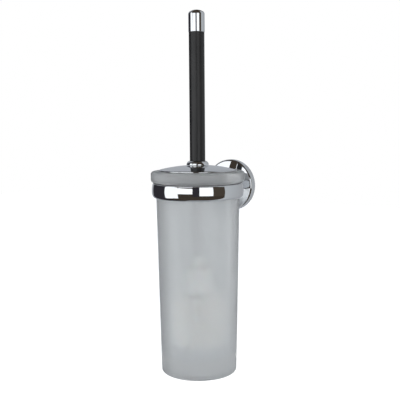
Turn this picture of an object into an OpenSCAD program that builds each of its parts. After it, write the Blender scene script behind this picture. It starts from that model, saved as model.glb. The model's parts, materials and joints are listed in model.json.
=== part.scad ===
// Wall-mounted toilet brush set: a chromed ring on a wall rosette holds a frosted
// glass tumbler, and a lidded brush stands in the tumbler.
// Millimetres, +Z up. The wall is the plane Y = 0 and the object stands out along -Y.
// The origin is the centre of the wall plate's back face.

/* [Wall mount] */
// Distance from the wall to the tumbler's axis
reach = 75; // [72:0.5:90]
// Outside diameter of the rosette
rosette_d = 57.5; // [56:0.5:60]
// Projection of the domed rosette from the wall, at its middle
rosette_h = 12.5; // [12.5:0.5:14]
// Radius of the rounding between the rosette's dome and its side
rosette_edge = 2.5; // [1.5:0.5:3]
// Distance between the centres of the two wall screws
wall_screw_spacing = 32; // [30:1:34]
// Diameter of the holes for the wall screws
wall_screw_hole_d = 4.5; // [4:0.1:5]
// Diameter of the arm between rosette and ring
arm_d = 14; // [13:0.5:16]

/* [Holder ring] */
// Largest outside diameter of the ring
ring_d = 96; // [95.8:0.1:97]
// Height of the ring
ring_h = 15.8; // [15:0.2:18]
// Radius of the rounding that curls in at the ring's lower edge
ring_curl = 4.2; // [3:0.1:4.5]

/* [Tumbler] */
// Outside diameter of the tumbler's thick rim
rim_d = 98; // [97:0.5:100]
// Height of the thick rim
rim_h = 11.6; // [10:0.1:13]
// Height of the whole tumbler
tumbler_h = 213; // [205:1:225]
// Outside diameter of the tumbler just below its rim
neck_d = 87.8; // [86:0.1:88]
// Outside diameter of the tumbler at its base
base_d = 79.8; // [78:0.1:84]
// Thickness of the solid glass base
base_t = 19; // [14:1:22]
// Inside diameter at the mouth
mouth_d = 75; // [74.5:0.1:76]

/* [Lid] */
// Outside diameter of the lid
lid_d = 80.2; // [79:0.1:80.6]
// Height of the domed lid at its middle
lid_h = 5.6; // [5.5:0.1:6.5]
// Thickness of the lid's metal
lid_wall = 0.9; // [0.7:0.1:0.9]

/* [Handle] */
// Outside diameter of the handle tube
handle_d = 16.1; // [16:0.1:16.4]
// Height of the handle's end cap
cap_h = 22.5; // [20:0.5:28]
// Height of the top of the cap above the tumbler's rim
handle_top = 164.6; // [150:0.2:190]
// Outside diameter of the collar that rests on the lid
collar_d = 23.2; // [22:0.1:25]
// Diameter of the stem below the lid
stem_d = 10; // [9.6:0.1:10]

/* [Brush head] */
// Widest diameter of the bristles
bristle_d = 60; // [56:0.5:68]
// Length of the bristle field
bristle_l = 61; // [56:1:62]
// Diameter of the bell above the bristles
bell_d = 33; // [30:0.5:36]
// Clearance between the bristles and the glass floor
floor_gap = 6; // [5:0.5:9]

/* [Hidden] */
$fn = 96;

eps = 0.01;           // overlap that keeps cuts clean
fit = 0.05;           // radial play of a push or running fit
seat = 0.6;           // depth of the arm's flat seat in the rosette

// Colours
chrome = [0.80, 0.81, 0.83];
steel = [0.70, 0.71, 0.72];
zinc = [0.60, 0.61, 0.63];
brass = [0.78, 0.62, 0.32];
frosted = [0.80, 0.83, 0.84, 0.6];
satin_black = [0.09, 0.09, 0.09];
soft_grey = [0.45, 0.46, 0.47];
white_plastic = [0.93, 0.93, 0.92];
grey_plastic = [0.35, 0.35, 0.36];

// Wall mount
rosette_r = rosette_d / 2;
rosette_dome = 90;    // radius of the rosette's domed face
rosette_face = 2.5;   // thickness of the rosette's metal
rosette_corner = 1;   // rounding inside, between its dome and its side
plate_r = 24.9;
plate_t = 6;
plate_bore_r = 7;     // clears the arm's nut
plate_gap = 0.3;      // play between the plate and the rosette
csk_r = 4.6;
csk_h = 2.4;
grub_r = 2;
grub_y = -3;
pin_r = 1;
pin_l = 6;
pin_z = 4.8;          // height of the dowel pins above the arm's axis
arm_screw_r = 2.5;
arm_washer_r = 5.2;
arm_washer_t = 1;
arm_nut_af = 8;       // across the nut's flats
arm_nut_h = 4;
seat_y = -rosette_h + seat;

// Holder ring, as heights above the ring's middle
ring_r = ring_d / 2;
ring_crown = 32;      // radius of the face's vertical crown
ring_top_edge = 1.6;
ring_in_r = 45.3;
ring_lip_r = 44.3;    // the lower curl's inner edge
ring_lip_h = 2;
liner_t = 1;
liner_lip = 0.6;      // the liner's flange, between the ring and the glass
liner_r = ring_in_r - fit;

// The tumbler's rim plane above the ring's middle
rim_z = ring_h / 2 + liner_lip + rim_h;
rim_r = rim_d / 2;
rim_edge = 3;
base_edge = 2;
inner_taper = 2;      // the mouth's radius less the floor's
floor_fillet = 2;
punt_r = 29;
punt_h = 1.5;
floor_z = base_t - tumbler_h;
mouth_r = mouth_d / 2;

// Lid, as heights above the rim plane
seal_t = 0.5;
lid_r = lid_d / 2;
lid_edge = 1;
lid_dome = 175;
bush_r = 7;
bush_flange_r = 10;
bush_flange_t = 1.5;
bush_top = seal_t + lid_h + 0.15;
insert_r = 36.6;
insert_low = -7.5;
hub_r = 12;

// Handle, as heights above the rim plane
handle_r = handle_d / 2;
tube_in_r = 7;
cap_r = handle_r + 0.35;
cap_edge = 3;
cap_dome = 14;
cap_z = handle_top - cap_h;
spigot_r = tube_in_r - fit;
cap_spigot_l = 9;
seal_groove_z = cap_z - 5.2;
seal_groove_h = 1.8;
seal_groove_r = 5.6;
collar_z = bush_top + fit;
collar_r = collar_d / 2;
collar_round = 4.1;
collar_h = 4.3;
collar_spigot_l = 8;
tie_r = 3;
tie_low = -3;
tie_high = cap_z + 12;
stem_r = stem_d / 2;
stem_top = collar_z + collar_h + 2;
thread_r = 4;
clip_groove_r = 4.3;
clip_t = 0.9;
clip_r = 7.6;
clip_z = insert_low - bush_flange_t - clip_t - 0.1;

// Brush head, as heights above the rim plane
bristle_low = floor_z + floor_gap;
bristle_high = bristle_low + bristle_l;
core_r = 9;
core_low = bristle_low + 3;
core_high = bristle_high + 4;
bell_low = bristle_high - 1;
bell_h = 38;
bell_top = bell_low + bell_h;
bell_neck_r = 7.5;
shoulder_z = bell_top - 9;     // the stem's shoulder inside the bell
thread_low = shoulder_z - 17;
brass_r = 6;

// ---- sections in the (radius, height) half-plane ----

// A disc of radius r whose top is a dome, height h at the axis, with a tangent
// edge rounding e. It stands on height 0.
module domed_section(r, h, e, dome) {
    edge_x = r - e;
    edge_z = h - dome + sqrt((dome - e) ^ 2 - edge_x ^ 2);
    tangent_x = edge_x * dome / (dome - e);
    square([r, edge_z]);
    translate([edge_x, edge_z])
        intersection() {
            circle(e);
            translate([-e, 0]) square([2 * e, e]);
        }
    intersection() {
        translate([0, h - dome]) circle(dome, $fn = 720);
        square([tangent_x, h]);
    }
}

// A band from r_in out to r_mid at half height, crowned with radius crown, and
// rounded by low and high at its outer corners. Its middle is at height 0.
module band_section(r_in, r_mid, h, crown, low, high) {
    crown_x = r_mid - crown;
    low_z = low - h / 2;
    high_z = h / 2 - high;
    low_x = crown_x + sqrt((crown - low) ^ 2 - low_z ^ 2);
    high_x = crown_x + sqrt((crown - high) ^ 2 - high_z ^ 2);
    tangent_low = low_z * crown / (crown - low);
    tangent_high = high_z * crown / (crown - high);
    intersection() {
        union() {
            translate([low_x, low_z]) circle(low);
            translate([high_x, high_z]) circle(high);
            translate([0, -h / 2]) square([low_x, h / 2]);
            square([high_x, h / 2]);
            intersection() {
                translate([crown_x, 0]) circle(crown, $fn = 360);
                translate([0, tangent_low]) square([r_mid, tangent_high - tangent_low]);
            }
        }
        translate([r_in, -h / 2]) square([r_mid, h]);
    }
}

// What rounding of radius e takes off a corner at (x, z); the section lies
// towards (dx, dz), each 1 or -1.
module corner_waste(x, z, e, dx, dz) {
    translate([x, z])
        mirror([1 - dx, 0])
            mirror([0, 1 - dz])
                difference() {
                    translate([-1, -1]) square(e + 1);
                    translate([e, e]) circle(e);
                }
}

// A plain round washer or tube section.
module wall_section(r_in, r_out, z_low, z_high) {
    translate([r_in, z_low]) square([r_out - r_in, z_high - z_low]);
}

// ---- placing ----

// Moves children to the tumbler's axis, with height 0 at the middle of the ring.
module at_ring() {
    translate([0, -reach, 0]) children();
}

// Moves children to the tumbler's axis, with height 0 at the rim plane.
module at_rim() {
    translate([0, -reach, rim_z]) children();
}

// Turns a piece modelled along +Z so that it stands out from the wall, from y.
module from_wall(y = 0) {
    translate([0, y, 0]) rotate([90, 0, 0]) children();
}

// ---- wall mount ----

module ring_envelope() {
    at_ring()
        rotate_extrude() band_section(0, ring_r, ring_h, ring_crown, ring_curl, ring_top_edge);
}

// Cuts a through hole of radius r with a cone of depth csk that opens to head_r at
// y = 0, and a straight run of length lead in front of it for the head to go in.
module countersunk_hole(r, head_r, csk, lead, run) {
    rotate([-90, 0, 0])
        rotate_extrude()
            polygon([[0, -lead], [head_r, -lead], [head_r, 0], [r, csk], [r, run], [0, run]]);
}

module pin_row(extra = 0) {
    ring_pin_y = ring_r - reach - 1.7;
    for (y = [seat_y + 1.4, ring_pin_y + pin_l])
        translate([0, 0, pin_z])
            from_wall(y + extra) cylinder(r = pin_r + extra, h = pin_l + 2 * extra);
}

module wall_plate() {
    color(zinc)
        difference() {
            from_wall() cylinder(r = plate_r, h = plate_t);
            from_wall(1) cylinder(r = plate_bore_r, h = plate_t + 2);
            for (side = [-1, 1])
                translate([0, -plate_t, side * wall_screw_spacing / 2])
                    countersunk_hole(wall_screw_hole_d / 2, csk_r, csk_h, 1, plate_t + 1);
            translate([0, grub_y, -plate_r - 1]) cylinder(r = grub_r + fit, h = 1.7);
        }
}

module rosette() {
    color(chrome)
        difference() {
            from_wall()
                rotate_extrude()
                    domed_section(rosette_r, rosette_h, rosette_edge, rosette_dome);
            from_wall()
                rotate_extrude() {
                    domed_section(plate_r + plate_gap, rosette_h - rosette_face,
                                  rosette_corner, rosette_dome - rosette_face);
                    wall_section(0, plate_r + plate_gap, -1, eps);
                }
            from_wall(1) cylinder(r = arm_washer_r + 0.4, h = rosette_h - rosette_face + 1);
            from_wall(seat_y) cylinder(d = arm_d + 2 * fit, h = 2);
            from_wall(1) cylinder(r = arm_screw_r + fit, h = rosette_h + 2);
            translate([0, grub_y, -rosette_r - 1]) cylinder(r = grub_r, h = rosette_r / 2);
            pin_row(fit);
        }
}

module set_screw() {
    socket_r = 1.15;
    tip_z = -plate_r + 0.6;
    color(steel)
        translate([0, grub_y, -rosette_r + 0.4])
            difference() {
                cylinder(r = grub_r - 0.02, h = rosette_r - 0.4 + tip_z);
                translate([0, 0, -eps]) cylinder(r = socket_r, h = 1.8, $fn = 6);
            }
}

module arm() {
    color(chrome)
        difference() {
            from_wall(seat_y) cylinder(d = arm_d, h = reach - ring_r + seat_y + 3);
            ring_envelope();
            from_wall(0) cylinder(r = arm_screw_r + fit, h = reach);
            pin_row(fit);
        }
}

module arm_screw() {
    head_r = 4.4;
    head_h = 2;
    head_y = ring_in_r - reach;
    end_y = rosette_face - rosette_h + arm_washer_t + arm_nut_h + 0.8;
    socket_r = 1.75;
    color(steel)
        difference() {
            union() {
                from_wall(head_y + head_h)
                    cylinder(r1 = arm_screw_r, r2 = head_r, h = head_h);
                from_wall(end_y) cylinder(r = arm_screw_r, h = end_y - head_y - head_h);
            }
            from_wall(head_y + 1.6) cylinder(r = socket_r, h = 2, $fn = 6);
        }
}

module arm_washer() {
    color(steel)
        from_wall(rosette_face - rosette_h + arm_washer_t)
            difference() {
                cylinder(r = arm_washer_r, h = arm_washer_t);
                translate([0, 0, -1]) cylinder(r = arm_screw_r + 0.2, h = arm_washer_t + 2);
            }
}

module arm_nut() {
    color(steel)
        from_wall(rosette_face - rosette_h + arm_washer_t + arm_nut_h)
            difference() {
                cylinder(r = arm_nut_af / sqrt(3), h = arm_nut_h, $fn = 6);
                translate([0, 0, -1]) cylinder(r = arm_screw_r + 0.02, h = arm_nut_h + 2);
            }
}

module dowel_pins() {
    color(steel) pin_row();
}

// ---- ring ----

module holder_ring() {
    csk_depth = 2.1;
    head_r = 4.5;
    color(chrome)
        difference() {
            at_ring()
                rotate_extrude()
                    difference() {
                        band_section(ring_lip_r, ring_r, ring_h, ring_crown, ring_curl,
                                     ring_top_edge);
                        wall_section(0, ring_in_r, ring_lip_h - ring_h / 2, ring_h);
                    }
            translate([0, ring_in_r - reach, 0])
                countersunk_hole(arm_screw_r + fit, head_r, csk_depth, 2, reach / 2);
            pin_row(fit);
        }
}

module ring_liner() {
    lip_r = 46.4;
    top = ring_h / 2;
    color(soft_grey)
        at_ring()
            rotate_extrude() {
                wall_section(liner_r - liner_t, liner_r, ring_lip_h - top, top + eps);
                wall_section(liner_r - liner_t, lip_r, top, top + liner_lip);
            }
}

// ---- tumbler ----

module tumbler_outside() {
    neck_r = neck_d / 2;
    base_r = base_d / 2;
    difference() {
        polygon([[0, 0], [rim_r, 0], [rim_r, -rim_h], [neck_r, -rim_h],
                 [base_r, -tumbler_h], [0, -tumbler_h]]);
        corner_waste(rim_r, 0, rim_edge, -1, -1);
        corner_waste(rim_r, -rim_h, rim_edge, -1, 1);
        corner_waste(base_r, -tumbler_h, base_edge, -1, 1);
        polygon([[0, -tumbler_h - 1], [punt_r, -tumbler_h - 1], [punt_r, -tumbler_h],
                 [punt_r - 3 * punt_h, punt_h - tumbler_h], [0, punt_h - tumbler_h]]);
    }
}

module tumbler_inside() {
    floor_r = mouth_r - inner_taper;
    polygon([[0, 1], [mouth_r, 1], [mouth_r, 0], [floor_r, floor_z + floor_fillet],
             [0, floor_z + floor_fillet]]);
    translate([floor_r - floor_fillet, floor_z + floor_fillet]) circle(floor_fillet);
    translate([0, floor_z]) square([floor_r - floor_fillet, floor_fillet + eps]);
    corner_waste(mouth_r, 0, 1.2, 1, -1);
}

module tumbler() {
    color(frosted)
        at_rim()
            rotate_extrude()
                difference() {
                    tumbler_outside();
                    tumbler_inside();
                }
}

// ---- lid ----

module lid() {
    color(chrome)
        at_rim()
            translate([0, 0, seal_t])
                rotate_extrude()
                    difference() {
                        domed_section(lid_r, lid_h, lid_edge, lid_dome);
                        translate([0, -eps])
                            domed_section(lid_r - lid_wall, lid_h - lid_wall,
                                          lid_edge - lid_wall, lid_dome - lid_wall);
                        wall_section(0, bush_r + fit, -1, lid_h + 1);
                    }
}

module lid_seal() {
    color(soft_grey)
        at_rim() rotate_extrude() wall_section(insert_r + 0.4, lid_r - 0.25, 0, seal_t);
}

module lid_insert() {
    plate_low = -1;
    plate_high = 1;
    skirt_t = 2;
    hub_high = 3.9;
    color(grey_plastic)
        at_rim()
            rotate_extrude() {
                wall_section(bush_r + fit, insert_r, plate_low, plate_high);
                difference() {
                    wall_section(insert_r - skirt_t, insert_r, insert_low, plate_high);
                    corner_waste(insert_r, insert_low, 1, -1, 1);
                }
                wall_section(bush_r + fit, hub_r, insert_low, hub_high);
            }
}

module lid_bush() {
    color(white_plastic)
        at_rim()
            rotate_extrude() {
                wall_section(stem_r + fit, bush_r, insert_low - bush_flange_t, bush_top);
                wall_section(stem_r + fit, bush_flange_r, insert_low - bush_flange_t, insert_low);
            }
}

// ---- handle ----

module handle_cap() {
    color(chrome)
        at_rim()
            rotate_extrude()
                difference() {
                    union() {
                        translate([0, cap_z]) domed_section(cap_r, cap_h, cap_edge, cap_dome);
                        wall_section(0, spigot_r, cap_z - cap_spigot_l, cap_z + 1);
                    }
                    corner_waste(cap_r, cap_z, 0.3, -1, 1);
                    corner_waste(spigot_r, cap_z - cap_spigot_l, 0.6, -1, 1);
                    wall_section(0, tie_r, cap_z - cap_h, tie_high + 1);
                    wall_section(seal_groove_r, cap_r, seal_groove_z,
                                 seal_groove_z + seal_groove_h);
                }
}

module cap_seal() {
    ring = (tube_in_r - seal_groove_r) / 2;
    color(soft_grey)
        at_rim()
            translate([0, 0, seal_groove_z + seal_groove_h / 2])
                rotate_extrude() translate([tube_in_r - ring, 0]) circle(ring - 0.01);
}

module handle_tube() {
    color(satin_black)
        at_rim() rotate_extrude() wall_section(tube_in_r, handle_r, collar_z + collar_h, cap_z);
}

module tie_rod() {
    color(steel)
        at_rim() translate([0, 0, tie_low]) cylinder(r = tie_r - 0.02, h = tie_high - tie_low);
}

module handle_collar() {
    foot = collar_h - collar_round;
    color(chrome)
        at_rim()
            translate([0, 0, collar_z])
                rotate_extrude()
                    difference() {
                        union() {
                            wall_section(stem_r + fit, collar_r, 0, foot);
                            intersection() {
                                translate([collar_r - collar_round, foot])
                                    circle(collar_round);
                                wall_section(stem_r + fit, collar_r, 0, collar_h);
                            }
                            wall_section(stem_r + fit, collar_r - collar_round, 0, collar_h);
                            wall_section(stem_r + fit, spigot_r, 0,
                                         collar_h + collar_spigot_l);
                        }
                        corner_waste(spigot_r, collar_h + collar_spigot_l, 0.6, -1, -1);
                    }
}

module stem() {
    color(steel)
        at_rim()
            rotate_extrude()
                difference() {
                    union() {
                        wall_section(0, stem_r, shoulder_z, stem_top);
                        wall_section(0, thread_r, thread_low, shoulder_z + 1);
                    }
                    wall_section(0, tie_r, tie_low - 1, stem_top + 1);
                    wall_section(clip_groove_r, stem_r + 1, clip_z - 0.05, clip_z + clip_t + 0.05);
                    corner_waste(thread_r, thread_low, 0.8, -1, 1);
                }
}

module retaining_clip() {
    gap = 5;
    color(steel)
        at_rim()
            translate([0, 0, clip_z])
                difference() {
                    rotate_extrude() wall_section(clip_groove_r + fit, clip_r, 0, clip_t);
                    translate([0, -gap / 2, -1]) cube([clip_r + 1, gap, clip_t + 2]);
                }
}

// ---- brush head ----

module head_insert() {
    color(brass)
        at_rim()
            rotate_extrude()
                wall_section(thread_r + 0.02, brass_r, thread_low - 0.2, shoulder_z);
}

// The bell's flare is a quarter circle that meets the straight skirt tangentially.
module bell() {
    bell_r = bell_d / 2;
    flare = bell_r - bell_neck_r;
    skirt_h = bell_h - flare - 9;
    color(white_plastic)
        at_rim()
            rotate_extrude()
                difference() {
                    union() {
                        wall_section(0, bell_r, bell_low, bell_low + skirt_h);
                        translate([bell_neck_r, bell_low + skirt_h])
                            intersection() {
                                circle(flare);
                                square(flare);
                            }
                        wall_section(0, bell_neck_r, bell_low, bell_top);
                    }
                    corner_waste(bell_neck_r, bell_top, 2, -1, -1);
                    wall_section(0, stem_r + fit, shoulder_z, bell_top + 1);
                    wall_section(0, brass_r, thread_low - 0.2, shoulder_z + eps);
                    wall_section(0, core_r + fit, bell_low - 1, core_high);
                }
}

module bristle_core() {
    color(white_plastic)
        at_rim()
            rotate_extrude()
                difference() {
                    wall_section(0, core_r, core_low, core_high - 0.1);
                    corner_waste(core_r, core_low, 4, -1, 1);
                }
}

// One closed barrel with the outline of the splayed bristles.
module bristles() {
    bristle_r = bristle_d / 2;
    shoulder = 14;
    color(white_plastic)
        at_rim()
            rotate_extrude()
                difference() {
                    wall_section(0, bristle_r, bristle_low, bristle_high);
                    corner_waste(bristle_r, bristle_low, shoulder, -1, 1);
                    corner_waste(bristle_r, bristle_high, shoulder, -1, -1);
                    wall_section(0, core_r + fit, core_low - fit, bristle_high + 1);
                    wall_section(0, bell_d / 2 + 0.3, bell_low - 0.3, bristle_high + 1);
                }
}

wall_plate();
rosette();
set_screw();
arm();
arm_screw();
arm_washer();
arm_nut();
dowel_pins();
holder_ring();
ring_liner();
tumbler();
lid();
lid_seal();
lid_insert();
lid_bush();
handle_cap();
cap_seal();
handle_tube();
tie_rod();
handle_collar();
stem();
retaining_clip();
head_insert();
bell();
bristle_core();
bristles();
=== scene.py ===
"""Looks for a wall-mounted toilet brush set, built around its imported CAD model.

Metres, in the part's own frame: the wall is the plane Y = 0, the object stands out
along -Y, and Z is up. Every size comes from the CAD nodes' boxes or is named here.
The CAD nodes show as they are, apart from the solid bristles, which tufts replace.
"""
import json
import math
import random

import bmesh
import bpy
from mathutils import Matrix, Vector


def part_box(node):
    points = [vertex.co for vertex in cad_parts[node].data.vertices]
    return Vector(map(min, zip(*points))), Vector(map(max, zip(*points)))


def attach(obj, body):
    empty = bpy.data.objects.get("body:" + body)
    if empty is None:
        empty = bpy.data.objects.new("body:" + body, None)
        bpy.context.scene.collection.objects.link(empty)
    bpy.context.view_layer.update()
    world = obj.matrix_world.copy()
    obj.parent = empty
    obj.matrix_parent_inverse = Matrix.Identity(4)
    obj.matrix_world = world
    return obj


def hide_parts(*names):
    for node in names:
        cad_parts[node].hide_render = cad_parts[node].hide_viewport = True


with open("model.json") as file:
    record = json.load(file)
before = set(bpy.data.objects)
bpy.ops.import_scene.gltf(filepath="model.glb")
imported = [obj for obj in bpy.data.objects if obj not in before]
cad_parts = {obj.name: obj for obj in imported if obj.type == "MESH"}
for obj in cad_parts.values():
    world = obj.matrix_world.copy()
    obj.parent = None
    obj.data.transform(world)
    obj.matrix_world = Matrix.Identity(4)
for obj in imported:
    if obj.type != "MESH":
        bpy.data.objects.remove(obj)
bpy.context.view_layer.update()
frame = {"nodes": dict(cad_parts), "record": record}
MM = 0.001


# ---------------------------------------------------------------- places

BOXES = {node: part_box(node) for node in frame["nodes"]}


def low(node):
    """The corner of a CAD node's box with the least x, y and z."""
    return BOXES[node][0]


def high(node):
    """The corner of a CAD node's box with the greatest x, y and z."""
    return BOXES[node][1]


def radius(node):
    """Radius of a CAD node that is round about the vertical."""
    return (high(node).x - low(node).x) / 2


AXIS = (low("tumbler") + high("tumbler")) / 2     # shared by tumbler, lid and brush
AXIS.z = 0
RIM_Z = high("tumbler").z
BASE_Z = low("tumbler").z
GLASS_BORE_R = 37.5 * MM                          # the widest the inside gets


# ---------------------------------------------------------------- camera

CAMERA_AZIMUTH = math.radians(31.65)
CAMERA_PITCH = math.radians(-6.09)
CAMERA_ROLL = math.radians(-0.45)
CAMERA_LENS = 63.6                                # mm, on a sensor of SENSOR_WIDTH mm
SENSOR_WIDTH = 36.0
CAMERA_BACK = 737.5 * MM                          # level distance from the tumbler's axis
CAMERA_ABOVE = 48.0 * MM                          # height above the tumbler's rim
CAMERA_ASIDE = 2.2 * MM
CLIP_START = 0.02
CLIP_END = 60


def make_camera():
    """A camera at the photograph's viewing angle."""
    right = Vector((math.cos(CAMERA_AZIMUTH), math.sin(CAMERA_AZIMUTH), 0))
    ahead = Vector((-math.sin(CAMERA_AZIMUTH), math.cos(CAMERA_AZIMUTH), 0))
    up = Vector((0, 0, 1))
    data = bpy.data.cameras.new("camera")
    data.lens = CAMERA_LENS
    data.sensor_width = SENSOR_WIDTH
    data.clip_start = CLIP_START
    data.clip_end = CLIP_END
    camera = bpy.data.objects.new("camera", data)
    bpy.context.scene.collection.objects.link(camera)
    turn = (Matrix.Rotation(CAMERA_AZIMUTH, 4, "Z")
            @ Matrix.Rotation(math.pi / 2 + CAMERA_PITCH, 4, "X")
            @ Matrix.Rotation(CAMERA_ROLL, 4, "Z"))
    place = (AXIS + up * (RIM_Z + CAMERA_ABOVE)
             + right * CAMERA_ASIDE - ahead * CAMERA_BACK)
    camera.matrix_world = Matrix.Translation(place) @ turn
    bpy.context.scene.camera = camera


# ---------------------------------------------------------------- node tools

MIDDLE = (0.3, 0.7)           # spans of a noise that hold most of its values
WIDE = (0.3, 0.75)
BRIGHT = (0.35, 0.75)


class Nodes:
    """A node material in the making."""

    def __init__(self, name):
        self.material = bpy.data.materials.new(name)
        self.material.use_nodes = True
        self.tree = self.material.node_tree
        self.shader = self.tree.nodes["Principled BSDF"]
        self.coords = self.add("ShaderNodeTexCoord").outputs["Object"]

    def add(self, kind, **settings):
        node = self.tree.nodes.new(kind)
        for key, value in settings.items():
            setattr(node, key, value)
        return node

    def link(self, source, target):
        self.tree.links.new(source, target)

    def set(self, **values):
        """Gives the shader's sockets, named with _ for a space, plain values."""
        for key, value in values.items():
            self.shader.inputs[key.replace("_", " ")].default_value = value

    def noise(self, scale, detail, stretch=(1, 1, 1)):
        """Noise with scale cells to the metre, times stretch along each axis."""
        mapping = self.add("ShaderNodeMapping")
        mapping.inputs["Scale"].default_value = stretch
        self.link(self.coords, mapping.inputs["Vector"])
        texture = self.add("ShaderNodeTexNoise")
        texture.inputs["Scale"].default_value = scale
        texture.inputs["Detail"].default_value = detail
        self.link(mapping.outputs["Vector"], texture.inputs["Vector"])
        return texture.outputs["Fac"]

    def spread(self, source, span, result):
        """Maps source from the span (low, high) to the result (at low, at high)."""
        node = self.add("ShaderNodeMapRange")
        for key, value in zip(("From Min", "From Max", "To Min", "To Max"), (*span, *result)):
            node.inputs[key].default_value = value
        self.link(source, node.inputs["Value"])
        return node.outputs["Result"]

    def ramp(self, source, *stops):
        """A colour that changes along source from stop to stop, each (place, colour)."""
        node = self.add("ShaderNodeValToRGB")
        elements = node.color_ramp.elements
        while len(elements) < len(stops):
            elements.new(0.5)
        for element, (place, colour) in zip(elements, stops):
            element.position = place
            element.color = (*colour, 1)
        self.link(source, node.inputs["Fac"])
        return node.outputs["Color"]

    def distance_from_axis(self):
        """Distance of the shaded point from the tumbler's axis, in metres."""
        offset = self.add("ShaderNodeVectorMath", operation="SUBTRACT")
        offset.inputs[1].default_value = AXIS
        self.link(self.coords, offset.inputs[0])
        flat = self.add("ShaderNodeVectorMath", operation="MULTIPLY")
        flat.inputs[1].default_value = (1, 1, 0)
        self.link(offset.outputs["Vector"], flat.inputs[0])
        length = self.add("ShaderNodeVectorMath", operation="LENGTH")
        self.link(flat.outputs["Vector"], length.inputs[0])
        return length.outputs["Value"]

    def height(self):
        """Height of the shaded point, in metres."""
        parts = self.add("ShaderNodeSeparateXYZ")
        self.link(self.coords, parts.inputs["Vector"])
        return parts.outputs["Z"]

    def colour(self, source, dark, light, span=MIDDLE):
        colours = self.ramp(source, (span[0], dark), (span[1], light))
        self.link(colours, self.shader.inputs["Base Color"])

    def roughness(self, source, least, most, span=MIDDLE):
        self.link(self.spread(source, span, (least, most)), self.shader.inputs["Roughness"])

    def bump(self, source, strength, distance):
        node = self.add("ShaderNodeBump")
        node.inputs["Strength"].default_value = strength
        node.inputs["Distance"].default_value = distance
        self.link(source, node.inputs["Height"])
        self.link(node.outputs["Normal"], self.shader.inputs["Normal"])


# ---------------------------------------------------------------- materials

def chrome():
    """Mirror plating with faint smudges and the slight waviness of polished metal."""
    m = Nodes("chrome")
    m.set(Metallic=1.0)
    m.roughness(m.noise(55, 4), 0.03, 0.075, BRIGHT)
    m.colour(m.noise(18, 2), (0.80, 0.81, 0.83), (0.86, 0.87, 0.89))
    m.bump(m.noise(9, 1), 0.05, 0.5 * MM)
    return m.material


def steel():
    """Stainless steel with fine turning marks round the vertical."""
    m = Nodes("steel")
    m.set(Metallic=1.0)
    rings = m.noise(420, 3, (1, 1, 6))
    m.colour(rings, (0.38, 0.38, 0.39), (0.48, 0.48, 0.49))
    m.roughness(rings, 0.22, 0.36)
    m.bump(rings, 0.15, 0.05 * MM)
    return m.material


def zinc():
    """Raw die-cast zinc, blotchy and grainy."""
    m = Nodes("zinc")
    m.set(Metallic=1.0)
    grain = m.noise(900, 4)
    m.colour(m.noise(60, 3), (0.40, 0.41, 0.43), (0.55, 0.56, 0.58), WIDE)
    m.roughness(grain, 0.42, 0.6)
    m.bump(grain, 0.3, 0.08 * MM)
    return m.material


def brass():
    """Brass with turning marks round the vertical."""
    m = Nodes("brass")
    m.set(Metallic=1.0)
    rings = m.noise(500, 2, (1, 1, 8))
    m.colour(rings, (0.62, 0.45, 0.18), (0.78, 0.60, 0.30))
    m.roughness(rings, 0.2, 0.35)
    m.bump(rings, 0.2, 0.05 * MM)
    return m.material


def satin_black():
    """Satin lacquer, drawn out along the tube."""
    m = Nodes("satin_black")
    m.set(Specular_IOR_Level=0.5)
    m.colour(m.noise(120, 4, (1, 1, 0.3)), (0.009, 0.009, 0.010), (0.016, 0.015, 0.016), WIDE)
    m.roughness(m.noise(260, 3, (1, 1, 0.1)), 0.32, 0.40)
    m.bump(m.noise(300, 2, (1, 1, 0.06)), 0.04, 0.01 * MM)
    return m.material


def soft_seal():
    """Matt grey elastomer."""
    m = Nodes("soft_seal")
    m.colour(m.noise(90, 3), (0.10, 0.10, 0.105), (0.16, 0.16, 0.165), WIDE)
    m.roughness(m.noise(700, 3), 0.5, 0.7)
    m.bump(m.noise(1500, 2), 0.2, 0.04 * MM)
    return m.material


def moulded_plastic(name, dark, light, least_rough, most_rough):
    """Polypropylene with the fine texture of its mould."""
    m = Nodes(name)
    m.colour(m.noise(45, 3), dark, light, WIDE)
    m.roughness(m.noise(800, 3), least_rough, most_rough)
    m.bump(m.noise(1100, 3), 0.12, 0.04 * MM)
    return m


def white_plastic():
    m = moulded_plastic("white_plastic", (0.79, 0.79, 0.78), (0.84, 0.84, 0.83), 0.32, 0.46)
    m.set(Specular_IOR_Level=0.45, Subsurface_Weight=0.12, Subsurface_Scale=0.002)
    return m.material


def grey_plastic():
    m = moulded_plastic("grey_plastic", (0.24, 0.24, 0.245), (0.30, 0.30, 0.305), 0.4, 0.55)
    return m.material


def bristle_nylon():
    """White nylon, with a painted glow, brighter towards the tips, that stands in for light
    passed along the filaments.
    """
    m = Nodes("bristle_nylon")
    m.set(Specular_IOR_Level=0.5, Subsurface_Weight=0.1, Subsurface_Scale=0.001)
    root, tip = 12 * MM, 30 * MM
    along = m.spread(m.distance_from_axis(), (root, tip), (0, 1))
    # painted glow: emission that rises from the roots out to the tips, in place of light
    # carried through the nylon
    painted_glow = m.ramp(along, (0.0, (0.35, 0.35, 0.35)), (0.75, (0.4, 0.4, 0.4)),
                  (1.0, (0.6, 0.6, 0.6)))
    m.link(painted_glow, m.shader.inputs["Emission Color"])
    m.set(Emission_Strength=0.2)
    m.colour(m.noise(160, 3), (0.90, 0.90, 0.89), (0.96, 0.96, 0.95), WIDE)
    m.roughness(m.noise(900, 2), 0.3, 0.45)
    m.bump(m.noise(2600, 1, (1, 1, 0.2)), 0.1, 0.02 * MM)
    return m.material


BORE_ROUGH = 0.12
ETCHED_ROUGH = (0.36, 0.40)


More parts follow.
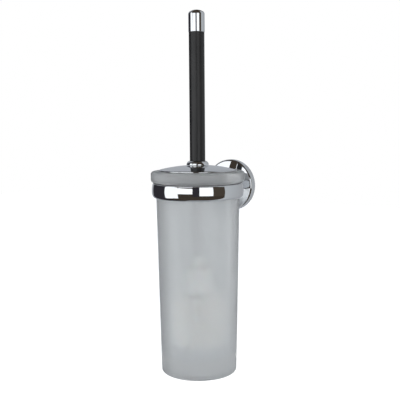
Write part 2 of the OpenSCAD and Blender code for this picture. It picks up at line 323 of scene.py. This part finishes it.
def frosted_glass():
    """Clear glass, etched outside and under its base, and smoother inside."""
    m = Nodes("frosted_glass")
    m.set(Transmission_Weight=0.86, IOR=1.46, Specular_IOR_Level=0.3)
    m.colour(m.noise(35, 3), (0.93, 0.95, 0.96), (0.96, 0.98, 0.99), WIDE)
    bore_edge = (GLASS_BORE_R + 0.5 * MM, GLASS_BORE_R + 1.0 * MM)
    base_edge = (BASE_Z + 4 * MM, BASE_Z + 6 * MM)
    outside = m.spread(m.distance_from_axis(), bore_edge, (0, 1))
    under = m.spread(m.height(), base_edge, (1, 0))
    etched = m.add("ShaderNodeMath", operation="MAXIMUM")
    m.link(outside, etched.inputs[0])
    m.link(under, etched.inputs[1])
    rough = m.add("ShaderNodeMapRange")
    rough.inputs["To Min"].default_value = BORE_ROUGH
    m.link(m.spread(m.noise(2200, 3), MIDDLE, ETCHED_ROUGH), rough.inputs["To Max"])
    m.link(etched.outputs["Value"], rough.inputs["Value"])
    m.link(rough.outputs["Result"], m.shader.inputs["Roughness"])
    return m.material


MATERIALS = {
    "chrome": chrome(),
    "steel": steel(),
    "zinc": zinc(),
    "brass": brass(),
    "satin_black": satin_black(),
    "soft_seal": soft_seal(),
    "white_plastic": white_plastic(),
    "grey_plastic": grey_plastic(),
    "bristle": bristle_nylon(),
    "frosted_glass": frosted_glass(),
}


def dress_frame():
    """Gives every CAD node the material of its slot in the record."""
    slots = {s["node"]: s["material_slot"] for s in frame["record"]["subparts"]}
    for name, piece in frame["nodes"].items():
        piece.data.materials.clear()
        piece.data.materials.append(MATERIALS[slots[name]])


# ---------------------------------------------------------------- mesh tools

SHARP_ANGLE = math.radians(32)


def mesh_object(name, bm, material):
    """Puts a finished bmesh into the scene as an object."""
    mesh = bpy.data.meshes.new(name)
    bm.to_mesh(mesh)
    bm.free()
    mesh.materials.append(material)
    made = bpy.data.objects.new(name, mesh)
    bpy.context.scene.collection.objects.link(made)
    return made


def new_piece(name, build, slot, body, *replaced):
    """A visible piece that rides on body and takes the place of CAD nodes."""
    bm = bmesh.new()
    build(bm)
    bmesh.ops.recalc_face_normals(bm, faces=bm.faces)
    piece = mesh_object(name, bm, MATERIALS[slot])
    piece.data.polygons.foreach_set("use_smooth", [True] * len(piece.data.polygons))
    piece.data.set_sharp_from_angle(angle=SHARP_ANGLE)
    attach(piece, body)
    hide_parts(*replaced)


# ---------------------------------------------------------------- bristles

FIELD_LOW = low("bristles").z
FIELD_HIGH = high("bristles").z
FIELD_R = radius("bristles") - 0.3 * MM
FIELD_SHOULDER = 14 * MM                          # rounding of the field's two ends

BRISTLE_ROWS = 6
TUFTS_PER_ROW = 13
LOWEST_ROW = FIELD_LOW + 9 * MM
HIGHEST_ROW = FIELD_HIGH - 7 * MM
ROW_TILT = math.radians(13)                       # of the outermost rows, up or down
ROW_TURN = math.radians(4.3)
ROOT_DEPTH = 0.5 * MM

END_TUFTS = 9
END_ROOT_R = 6.5 * MM
END_ROOT_ABOVE = 3 * MM                           # above the core's lower end
END_DROP = 0.32                                   # fall of an end tuft, per distance out

SEED = 7
FILAMENTS = 52                                    # in a tuft
FILAMENT_R = 0.20 * MM
FILAMENT_TAPER = 0.35                             # loss of radius towards the tip
FILAMENT_STEPS = 4
FILAMENT_SIDES = 3
TUFT_ROOT_R = 1.4 * MM
TUFT_SPLAY = 0.08                                 # sideways spread, per length
SPLAY_RANGE = (0.7, 1.1)                          # uneven spread, as a share of it
CUT_RANGE = (0.965, 1.0)                          # uneven cut, as a share of the length
BOW_RANGE = (-0.4, 0.9)                           # sideways bow, in mm

REACH_START = 5 * MM
REACH_END = 45 * MM
REACH_STEP = 0.5 * MM


def field_radius(z):
    """Radius of the bristle field at height z: a straight side between round ends."""
    edge = min(max(min(z - FIELD_LOW, FIELD_HIGH - z), 0.0), FIELD_SHOULDER)
    rise = math.sqrt(FIELD_SHOULDER ** 2 - (FIELD_SHOULDER - edge) ** 2)
    return FIELD_R - FIELD_SHOULDER + rise


def reach(root, direction):
    """Length at which a straight bristle from root meets the field's outline."""
    length = REACH_START
    while length < REACH_END:
        p = root + direction * length
        out = math.hypot(p.x - AXIS.x, p.y - AXIS.y)
        if out > field_radius(p.z) or not FIELD_LOW < p.z < FIELD_HIGH:
            return length - REACH_STEP
        length += REACH_STEP
    return length


def filament(bm, root, tip, bow):
    """One tapered bristle from root to tip, bowed sideways by the vector bow."""
    along = (tip - root).normalized()
    side = along.orthogonal().normalized()
    other = along.cross(side)
    turns = [2 * math.pi * k / FILAMENT_SIDES for k in range(FILAMENT_SIDES)]
    rings = []
    for i in range(FILAMENT_STEPS + 1):
        t = i / FILAMENT_STEPS
        place = root.lerp(tip, t) + bow * (4 * t * (1 - t))
        r = FILAMENT_R * (1 - FILAMENT_TAPER * t)
        rings.append([bm.verts.new(place + (side * math.cos(a) + other * math.sin(a)) * r)
                      for a in turns])
    for near, far in zip(rings, rings[1:]):
        for k in range(FILAMENT_SIDES):
            n = (k + 1) % FILAMENT_SIDES
            bm.faces.new((near[k], near[n], far[n], far[k]))
    bm.faces.new(rings[-1])
    bm.faces.new(rings[0][::-1])


def tuft(bm, root, direction, rng):
    """A bundle of filaments that spreads from root and is cut to the field's outline."""
    side = direction.orthogonal().normalized()
    other = direction.cross(side)
    for _ in range(FILAMENTS):
        a = rng.uniform(0, 2 * math.pi)
        r = math.sqrt(rng.random())
        out = side * math.cos(a) + other * math.sin(a)
        start = root + out * (TUFT_ROOT_R * r)
        lean = (direction + out * (TUFT_SPLAY * r * rng.uniform(*SPLAY_RANGE))).normalized()
        length = reach(start, lean) * rng.uniform(*CUT_RANGE)
        bow = out * rng.uniform(*BOW_RANGE) * MM
        filament(bm, start, start + lean * length, bow)


def build_row_tufts(bm, rng):
    """Rows of tufts round the core, each turned half a space from the row above."""
    root_r = radius("bristle_core") - ROOT_DEPTH
    middle = (LOWEST_ROW + HIGHEST_ROW) / 2
    facing = CAMERA_AZIMUTH - math.pi / 2
    for row in range(BRISTLE_ROWS):
        z = HIGHEST_ROW + (LOWEST_ROW - HIGHEST_ROW) * row / (BRISTLE_ROWS - 1)
        tilt = (z - middle) / (HIGHEST_ROW - middle) * ROW_TILT
        for k in range(TUFTS_PER_ROW):
            a = facing + 2 * math.pi * (k + 0.5 * (row % 2)) / TUFTS_PER_ROW - ROW_TURN
            flat = Vector((math.cos(a), math.sin(a), 0))
            direction = flat * math.cos(tilt) + Vector((0, 0, math.sin(tilt)))
            tuft(bm, AXIS + flat * root_r + Vector((0, 0, z)), direction, rng)


def build_end_tufts(bm, rng):
    """A ring of tufts round the core's lower end, splayed down and out."""
    z = low("bristle_core").z + END_ROOT_ABOVE
    for k in range(END_TUFTS):
        a = 2 * math.pi * k / END_TUFTS
        flat = Vector((math.cos(a), math.sin(a), 0))
        direction = (flat + Vector((0, 0, -END_DROP))).normalized()
        tuft(bm, AXIS + flat * END_ROOT_R + Vector((0, 0, z)), direction, rng)


def build_bristles(bm):
    rng = random.Random(SEED)
    build_row_tufts(bm, rng)
    build_end_tufts(bm, rng)


# ---------------------------------------------------------------- studio

STUDIO_CENTRE = Vector((0, AXIS.y, 0))
STUDIO_R = 1.6
FRONT_WALL_R = STUDIO_R * 1.05                    # behind the softboxes and the window
SOFT_LIGHT_R = STUDIO_R * 1.2
REFLECTOR_R = 0.4                                 # near, so that it is level with the cap
PANEL_GRID = (12, 6)                              # faces across and up

DARK = (0.030, 0.028, 0.034)
BROWN = (0.050, 0.040, 0.031)
LIGHT_BROWN = (0.067, 0.054, 0.042)
COOL_WHITE = (0.95, 0.98, 1.0)
WHITE = (1, 1, 1)
BACK_GREY = (0.48, 0.49, 0.50)
WALL_GREY_NEAR = (0.49, 0.52, 0.54)
WALL_GREY_FAR = (0.36, 0.37, 0.385)
WORLD_GREY = (0.40, 0.42, 0.45)

SURROUND_R = 9
FLOOR_HALF = 6
FLOOR_DROP = 0.55                                 # below the tumbler's base


def emitter(name, colour, strength):
    """A material that only glows."""
    material = bpy.data.materials.new(name)
    material.use_nodes = True
    tree = material.node_tree
    tree.nodes.clear()
    painted_glow = tree.nodes.new("ShaderNodeEmission")
    painted_glow.inputs["Color"].default_value = (*colour, 1)
    painted_glow.inputs["Strength"].default_value = strength
    out = tree.nodes.new("ShaderNodeOutputMaterial")
    tree.links.new(painted_glow.outputs["Emission"], out.inputs["Surface"])
    return material


def stage_mesh(name, bm, material, *hidden_from):
    """A thing of the studio, hidden from the named kinds of ray."""
    thing = mesh_object(name, bm, material)
    for rays in hidden_from:
        setattr(thing, f"visible_{rays}", False)
    return thing


def panel_mesh(azimuths, elevations, distance, drop=0):
    """Part of a sphere round the object, from one azimuth and elevation to another.
    Azimuths are in degrees, measured from the photo camera's side, to its right. The
    upper edge is lower by drop degrees at the second azimuth."""
    bm = bmesh.new()
    across, up = PANEL_GRID
    grid = []
    for i in range(across + 1):
        turn = azimuths[0] + (azimuths[1] - azimuths[0]) * i / across
        a = CAMERA_AZIMUTH + math.radians(turn)
        top = elevations[1] - drop * i / across
        column = []
        for j in range(up + 1):
            e = math.radians(elevations[0] + (top - elevations[0]) * j / up)
            out = Vector((math.sin(a) * math.cos(e), -math.cos(a) * math.cos(e), math.sin(e)))
            column.append(bm.verts.new(STUDIO_CENTRE + out * distance))
        grid.append(column)
    for left, right in zip(grid, grid[1:]):
        for j in range(up):
            bm.faces.new((left[j], right[j], right[j + 1], left[j + 1]))
    return bm


def mirror_panel(name, azimuths, elevations, colour, strength=1.0, distance=STUDIO_R, drop=0):
    """A panel that shows only in mirror reflections."""
    bm = panel_mesh(azimuths, elevations, distance, drop)
    stage_mesh(name, bm, emitter(name, colour, strength), "camera", "diffuse", "transmission")


def soft_light(name, azimuths, elevations, colour, strength):
    """A panel that lights the object and shows through the glass, but isn't mirrored."""
    bm = panel_mesh(azimuths, elevations, SOFT_LIGHT_R)
    stage_mesh(name, bm, emitter(name, colour, strength), "camera", "glossy")


def build_right_wall(azimuths, elevations):
    """The grey wall on the right, in upright panels that get darker to the back."""
    steps = 10
    start, end = azimuths
    for i in range(steps):
        sides = [start + (end - start) * (i + k) / steps for k in (0, 1)]
        colour = [near + (far - near) * i / (steps - 1)
                  for near, far in zip(WALL_GREY_NEAR, WALL_GREY_FAR)]
        mirror_panel(f"right_grey_wall_{i}", sides, elevations, colour)


def build_studio():
    """Panels placed so that the chrome mirrors what it mirrors in the photo."""
    mirror_panel("left_dark_wall", (-147, -89), (-75, 20), DARK)
    mirror_panel("left_dark_above", (-128, -89), (20, 60), DARK)
    mirror_panel("left_softbox", (-89, -62), (-26, 34), COOL_WHITE, 1.25)
    mirror_panel("left_softbox_end", (-62, -50), (-26, 18), COOL_WHITE, 1.25, drop=5)
    mirror_panel("left_strip", (-50, -13), (-5, 14), COOL_WHITE, 1.3)
    mirror_panel("near_reflector", (-50, -13), (17, 38), COOL_WHITE, 1.3, REFLECTOR_R)
    mirror_panel("right_window", (4, 38), (-12, 18), COOL_WHITE, 1.3)
    mirror_panel("front_dark_gap", (-13, 4), (-14, 20), DARK)
    mirror_panel("right_brown_wall", (38, 70), (-14, 20), LIGHT_BROWN)
    mirror_panel("front_dark_wall", (-89, 70), (-75, 60), BROWN, distance=FRONT_WALL_R)
    mirror_panel("dark_ceiling", (-180, 180), (60, 90), BROWN)
    mirror_panel("back_dark_above", (150, 195), (30, 60), BROWN)
    build_right_wall((70, 150), (-75, 60))
    soft_light("front_soft_light", (-105, 120), (-25, 48), WHITE, 1.45)
    soft_light("back_dim_wall", (120, 255), (-30, 80), BACK_GREY, 1.0)


def build_surround():
    """White all round, which only the camera sees."""
    bm = bmesh.new()
    bmesh.ops.create_uvsphere(bm, u_segments=48, v_segments=24, radius=SURROUND_R)
    dome = stage_mesh("white_surround", bm, emitter("white_surround", WHITE, 1.0),
                      "glossy", "diffuse", "transmission", "shadow")
    dome.location = STUDIO_CENTRE


def build_floor():
    """A plain pale floor, which only the camera sees."""
    bm = bmesh.new()
    corners = [bm.verts.new((x * FLOOR_HALF, y * FLOOR_HALF, BASE_Z - FLOOR_DROP))
               for x, y in ((-1, -1), (1, -1), (1, 1), (-1, 1))]
    bm.faces.new(corners)
    m = Nodes("pale_floor")
    m.colour(m.noise(3, 2), (0.93, 0.93, 0.93), (0.96, 0.96, 0.96))
    m.set(Roughness=0.8, Emission_Color=(*WHITE, 1), Emission_Strength=0.75)
    stage_mesh("floor", bm, m.material, "glossy", "diffuse", "transmission")


def build_world():
    """Even grey light from wherever there is no panel."""
    world = bpy.data.worlds.new("studio_air")
    bpy.context.scene.world = world
    world.use_nodes = True
    back = world.node_tree.nodes["Background"]
    back.inputs["Color"].default_value = (*WORLD_GREY, 1)
    back.inputs["Strength"].default_value = 1.0


# ---------------------------------------------------------------- build

make_camera()
dress_frame()
new_piece("bristle_tufts", build_bristles, "bristle", "brush", "bristles")
build_studio()
build_surround()
build_floor()
build_world()

scene = bpy.context.scene
scene.view_settings.view_transform = "Standard"
scene.view_settings.look = "None"
